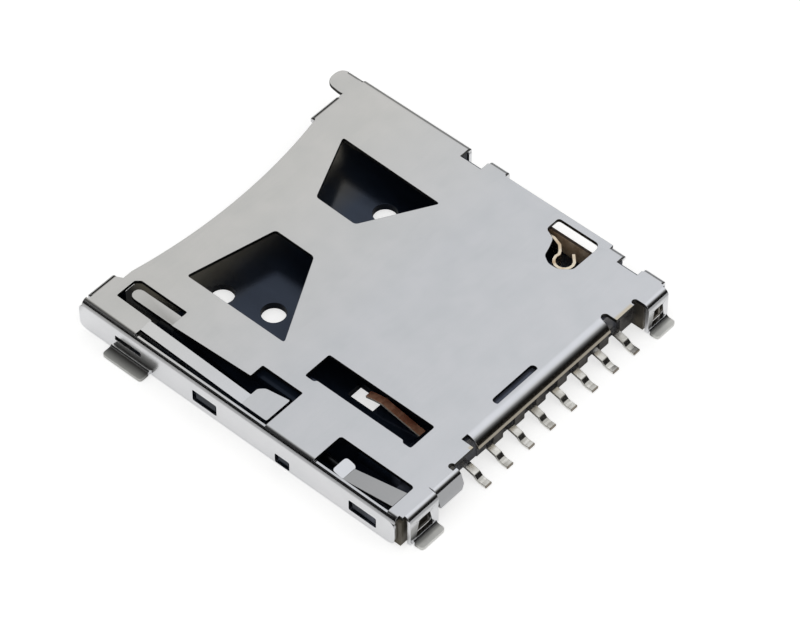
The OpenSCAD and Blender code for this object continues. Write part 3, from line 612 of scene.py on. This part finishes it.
def dullBronze():
    # bare phosphor bronze, tarnished in the air: brown, painted darker on the top edge as painted shade, and
    # no clear mirror
    finish = bronzeFinish
    material, tree, shader, place = newMaterial("dullBronze", finish["colour"][0], finish["metallic"], 0.45)
    blotch = addNode(tree, "ShaderNodeTexNoise", links={
        "Vector": place, "Scale": 1 / finish["blotch"], "Detail": 4,
    })
    side = blend(tree, blotch, *finish["colour"])
    facing = alongAxes(tree, "Normal")
    # painted shade: the faces that look up are painted dark brown
    paint(shader, "Base Color", facing["Z"], side, finish["shadedCutEdge"], *finish["topFacing"])
    paint(shader, "Roughness", blotch, *finish["roughness"])
    return material


wireFinish = {
    "drawnSteel": ("#b4b6b8", "#8f9194"),
    # painted shade: the cam pin's steel is painted near black where it lies in a dark pocket
    "shadedPinSteel": ("#3c3d40", "#242528"),
    "drawLines": 0.02 * mm,
    "roughness": (0.2, 0.38),
}


def steelWire(name):
    # stainless wire pulled through a die: fine lines along it and a soft shine
    material, tree, shader, place = newMaterial(name, wireFinish[name][0], 1.0, 0.28)
    lines = addNode(tree, "ShaderNodeTexNoise", links={
        "Vector": place, "Scale": 1 / wireFinish["drawLines"], "Detail": 3,
    })
    paint(shader, "Base Color", lines, *wireFinish[name])
    paint(shader, "Roughness", lines, *wireFinish["roughness"])
    return material


nickel = satinNickel()
black = blackPolymer()
copper = contactStrip()
gold = thinGold()
bronze = dullBronze()
drawnSteel = steelWire("drawnSteel")
shadedPinSteel = steelWire("shadedPinSteel")
print("materials ready")


# Sheet and moulded pieces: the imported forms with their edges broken, as shearing and moulding leave them

edges = {
    "shell": {"break": 0.012 * mm, "material": nickel, "slot": "shell_metal"},
    "housing": {"break": 0.015 * mm, "material": black, "slot": "housing_plastic"},
    "slider": {"break": 0.015 * mm, "material": black, "slot": "slider_plastic"},
    "detect_spring": {"break": 0.012 * mm, "material": gold, "slot": "switch_strip"},
    "detect_terminal": {"break": 0.012 * mm, "material": bronze, "slot": "switch_strip"},
}
edgeRule = {
    "merge": 0.004 * mm,  # corners nearer than this are one
    "sharp": 32,  # degrees between two faces from which their edge is broken
    "part": 1 / 3,  # a break is never wider than this part of the shortest edge beside it
    "segments": 2,
}


def breakEdges(node, body):
    values = edges[node]
    form = bmesh.new()
    form.from_mesh(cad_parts[node].data)
    bmesh.ops.remove_doubles(form, verts=form.verts, dist=edgeRule["merge"])
    share = form.edges.layers.float.new("bevel_weight_edge")
    for edge in form.edges:
        if len(edge.link_faces) == 2 and edge.calc_face_angle() > math.radians(edgeRule["sharp"]):
            shortest = min(near.calc_length() for corner in edge.verts for near in corner.link_edges)
            edge[share] = min(1.0, shortest * edgeRule["part"] / values["break"])
    mesh = bpy.data.meshes.new(node + "Edged")
    form.to_mesh(mesh)
    form.free()
    piece = addObject(node + "Edged", mesh)
    bevel = piece.modifiers.new("broken edges", "BEVEL")
    bevel.width = values["break"]
    bevel.segments = edgeRule["segments"]
    bevel.limit_method = "WEIGHT"
    bevel.loop_slide = False
    bevel.use_clamp_overlap = False
    plainMesh(piece)
    keepInBox(piece.data, node)
    shadeLargeFacesFlat(piece.data)
    setMaterial(piece, values["material"])
    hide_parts(node)
    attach(piece, body)


for node, body in (("shell", "base"), ("housing", "base"), ("slider", "slider"),
                   ("detect_spring", "base"), ("detect_terminal", "base")):
    breakEdges(node, body)
print("edges broken")


# Geometry Nodes: a tree with named inputs, its result a plain mesh

def newTree(name, inputs):
    tree = bpy.data.node_groups.new(name, "GeometryNodeTree")
    tree.interface.new_socket("Geometry", in_out="INPUT", socket_type="NodeSocketGeometry")
    for title, kind in inputs:
        tree.interface.new_socket(title, in_out="INPUT", socket_type=kind)
    tree.interface.new_socket("Geometry", in_out="OUTPUT", socket_type="NodeSocketGeometry")
    return tree, addNode(tree, "NodeGroupInput").outputs


def runTree(piece, tree, values):
    modifier = piece.modifiers.new(tree.name, "NODES")
    modifier.node_group = tree
    names = {item.name: item.identifier for item in tree.interface.items_tree if item.in_out == "INPUT"}
    for title, value in values.items():
        modifier[names[title]] = value
    plainMesh(piece)


# Contacts: one formed strip, set out along the nose of the base

contacts = {
    "count": 8,
    "pitch": 1.1 * mm,
    "first": 3.135 * mm,
    "width": 0.3 * mm,
    "tailWidth": 0.28 * mm,
    "thickness": 0.1 * mm,
    "edge": 0.018 * mm,
    "bend": 0.09 * mm,
    # middle of the strip from the free end to the foot, as millimetres along Y and up
    "path": [
        (2.28, 0.49), (2.62, 0.592), (2.74, 0.612), (2.98, 0.66), (3.22, 0.612), (3.34, 0.588),
        (4.5, 0.37), (4.75, 0.34), (6.61, 0.34), (6.7, 0.33),
        (7.06, 0.23), (7.19, 0.11), (7.3, 0.06), (7.4, 0.05), (7.6, 0.05),
    ],
    "narrows": (4.75 * mm, 5 * mm),
    "bendSteps": 5,
    "edgeSteps": 3,
}


def contactTree():
    tree, given = newTree("contact row", [
        ("Count", "NodeSocketInt"), ("Pitch", "NodeSocketFloat"), ("First", "NodeSocketFloat"),
        ("Width", "NodeSocketFloat"), ("Thickness", "NodeSocketFloat"), ("Edge", "NodeSocketFloat"),
        ("Bend", "NodeSocketFloat"), ("Tail share", "NodeSocketFloat"), ("Finish", "NodeSocketMaterial"),
    ])
    middle = addNode(tree, "GeometryNodeMeshToCurve", links={0: given["Geometry"]})
    bent = addNode(tree, "GeometryNodeFilletCurve", {"mode": "POLY"}, {
        "Curve": middle, "Radius": given["Bend"], "Count": contacts["bendSteps"], "Limit Radius": True,
    })
    level = addNode(tree, "GeometryNodeSetCurveNormal", {"mode": "Z_UP"}, {"Curve": bent})
    place = addNode(tree, "ShaderNodeSeparateXYZ", links={0: addNode(tree, "GeometryNodeInputPosition")})
    start, end = contacts["narrows"]
    share = addNode(tree, "ShaderNodeMapRange", links={
        0: place.outputs["Y"], 1: start, 2: end, 3: 1.0, 4: given["Tail share"],
    })
    tapered = addNode(tree, "GeometryNodeSetCurveRadius", links={"Curve": level, "Radius": share})
    section = addNode(tree, "GeometryNodeCurvePrimitiveQuadrilateral", links={
        "Width": given["Width"], "Height": given["Thickness"],
    })
    rounded = addNode(tree, "GeometryNodeFilletCurve", {"mode": "POLY"}, {
        "Curve": section, "Radius": given["Edge"], "Count": contacts["edgeSteps"], "Limit Radius": True,
    })
    formed = addNode(tree, "GeometryNodeCurveToMesh", links={
        "Curve": tapered, "Profile Curve": rounded, "Fill Caps": True,
    })
    step = addNode(tree, "ShaderNodeMath", {"operation": "MULTIPLY"}, {0: given["Pitch"], 1: -1.0})
    row = addNode(tree, "GeometryNodeMeshLine", links={
        "Count": given["Count"],
        "Start Location": addNode(tree, "ShaderNodeCombineXYZ", links={"X": given["First"]}),
        "Offset": addNode(tree, "ShaderNodeCombineXYZ", links={"X": step}),
    })
    placed = addNode(tree, "GeometryNodeInstanceOnPoints", links={"Points": row, "Instance": formed})
    real = addNode(tree, "GeometryNodeRealizeInstances", links={0: placed})
    done = addNode(tree, "GeometryNodeSetMaterial", links={"Geometry": real, "Material": given["Finish"]})
    addNode(tree, "NodeGroupOutput", links={0: done})
    return tree


def makeContacts():
    mesh = bpy.data.meshes.new("contactRow")
    path = [(0, y * mm, z * mm) for y, z in contacts["path"]]
    mesh.from_pydata(path, [(i, i + 1) for i in range(len(path) - 1)], [])
    piece = addObject("contactRow", mesh)
    runTree(piece, contactTree(), {
        "Count": contacts["count"], "Pitch": contacts["pitch"], "First": contacts["first"],
        "Width": contacts["width"], "Thickness": contacts["thickness"], "Edge": contacts["edge"],
        "Bend": contacts["bend"], "Tail share": contacts["tailWidth"] / contacts["width"], "Finish": copper,
    })
    outwards(piece.data)
    shadeLargeFacesFlat(piece.data)
    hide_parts(*[f"contact_{i + 1}" for i in range(contacts["count"])])
    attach(piece, "base")


makeContacts()
print("contacts made")


# Eject spring: round wire coiled with closed end turns

spring = {
    "turns": 11,
    "closedTurns": 1.1,
    "wire": 0.13 * mm,
    "stepsPerTurn": 32,
    "wireSides": 14,
    "pressed": 0.32,  # its share of the free length at full travel
}


def springTree():
    tree, given = newTree("eject spring", [
        ("Turns", "NodeSocketFloat"), ("Closed turns", "NodeSocketFloat"), ("Wire", "NodeSocketFloat"),
        ("Radius", "NodeSocketFloat"), ("Length", "NodeSocketFloat"), ("Middle", "NodeSocketVector"),
        ("Points", "NodeSocketInt"), ("Sides", "NodeSocketInt"), ("Finish", "NodeSocketMaterial"),
    ])
    line = addNode(tree, "GeometryNodeCurvePrimitiveLine")
    fine = addNode(tree, "GeometryNodeResampleCurve", links={"Curve": line, "Count": given["Points"]})
    share = addNode(tree, "GeometryNodeSplineParameter").outputs["Factor"]
    turn = addNode(tree, "ShaderNodeMath", {"operation": "MULTIPLY"}, {0: share, 1: given["Turns"]})
    angle = addNode(tree, "ShaderNodeMath", {"operation": "MULTIPLY"}, {0: turn, 1: 2 * math.pi})
    sine = addNode(tree, "ShaderNodeMath", {"operation": "SINE"}, {0: angle})
    cosine = addNode(tree, "ShaderNodeMath", {"operation": "COSINE"}, {0: angle})
    x = addNode(tree, "ShaderNodeMath", {"operation": "MULTIPLY"}, {0: cosine, 1: given["Radius"]})
    z = addNode(tree, "ShaderNodeMath", {"operation": "MULTIPLY"}, {0: sine, 1: given["Radius"]})
    # the first and last turns advance by one wire each, and the turns between share the rest of the length
    last = addNode(tree, "ShaderNodeMath", {"operation": "SUBTRACT"}, {
        0: given["Turns"], 1: given["Closed turns"],
    })
    closed = addNode(tree, "ShaderNodeMath", {"operation": "MULTIPLY"}, {
        0: given["Wire"], 1: given["Closed turns"],
    })
    start = addNode(tree, "ShaderNodeMath", {"operation": "MULTIPLY"}, {0: given["Length"], 1: -0.5})
    openStart = addNode(tree, "ShaderNodeMath", {"operation": "ADD"}, {0: start, 1: closed})
    openEnd = addNode(tree, "ShaderNodeMath", {"operation": "MULTIPLY"}, {0: openStart, 1: -1.0})
    entering = addNode(tree, "ShaderNodeMapRange", links={
        0: turn, 1: 0.0, 2: given["Closed turns"], 3: start, 4: openStart,
    })
    rest = addNode(tree, "ShaderNodeMath", {"operation": "SUBTRACT"}, {0: openEnd, 1: openStart})
    between = addNode(tree, "ShaderNodeMapRange", links={
        0: turn, 1: given["Closed turns"], 2: last, 3: 0.0, 4: rest,
    })
    leaving = addNode(tree, "ShaderNodeMapRange", links={
        0: turn, 1: last, 2: given["Turns"], 3: 0.0, 4: closed,
    })
    y = addNode(tree, "ShaderNodeMath", {"operation": "ADD"}, {0: entering, 1: between})
    y = addNode(tree, "ShaderNodeMath", {"operation": "ADD"}, {0: y, 1: leaving})
    around = addNode(tree, "ShaderNodeCombineXYZ", links={0: x, 1: y, 2: z})
    placed = addNode(tree, "ShaderNodeVectorMath", {"operation": "ADD"}, {0: around, 1: given["Middle"]})
    coil = addNode(tree, "GeometryNodeSetPosition", links={"Geometry": fine, "Position": placed})
    half = addNode(tree, "ShaderNodeMath", {"operation": "MULTIPLY"}, {0: given["Wire"], 1: 0.5})
    section = addNode(tree, "GeometryNodeCurvePrimitiveCircle", links={
        "Resolution": given["Sides"], "Radius": half,
    })
    drawn = addNode(tree, "GeometryNodeCurveToMesh", links={
        "Curve": coil, "Profile Curve": section, "Fill Caps": True,
    })
    real = addNode(tree, "GeometryNodeRealizeInstances", links={0: drawn})
    done = addNode(tree, "GeometryNodeSetMaterial", links={"Geometry": real, "Material": given["Finish"]})
    addNode(tree, "NodeGroupOutput", links={0: done})
    return tree


def makeSpring():
    low, high = (Vector(corner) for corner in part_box("eject_spring"))
    size, middle = high - low, (low + high) / 2
    piece = addObject("ejectSpring", bpy.data.meshes.new("ejectSpring"))
    runTree(piece, springTree(), {
        "Turns": float(spring["turns"]), "Closed turns": spring["closedTurns"], "Wire": spring["wire"],
        "Radius": (size.x - spring["wire"]) / 2, "Length": size.y - spring["wire"], "Middle": middle,
        "Points": spring["turns"] * spring["stepsPerTurn"] + 1, "Sides": spring["wireSides"],
        "Finish": drawnSteel,
    })
    outwards(piece.data)
    shadeLargeFacesFlat(piece.data)
    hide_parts("eject_spring")
    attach(piece, "base")
    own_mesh(piece)


makeSpring()
print("spring made")

# The cam pin keeps its packed form: a bent wire is round already

# painted shade: the cam pin is painted near black, as it lies in shadow in its pocket
setMaterial(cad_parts["cam_pin"], shadedPinSteel)
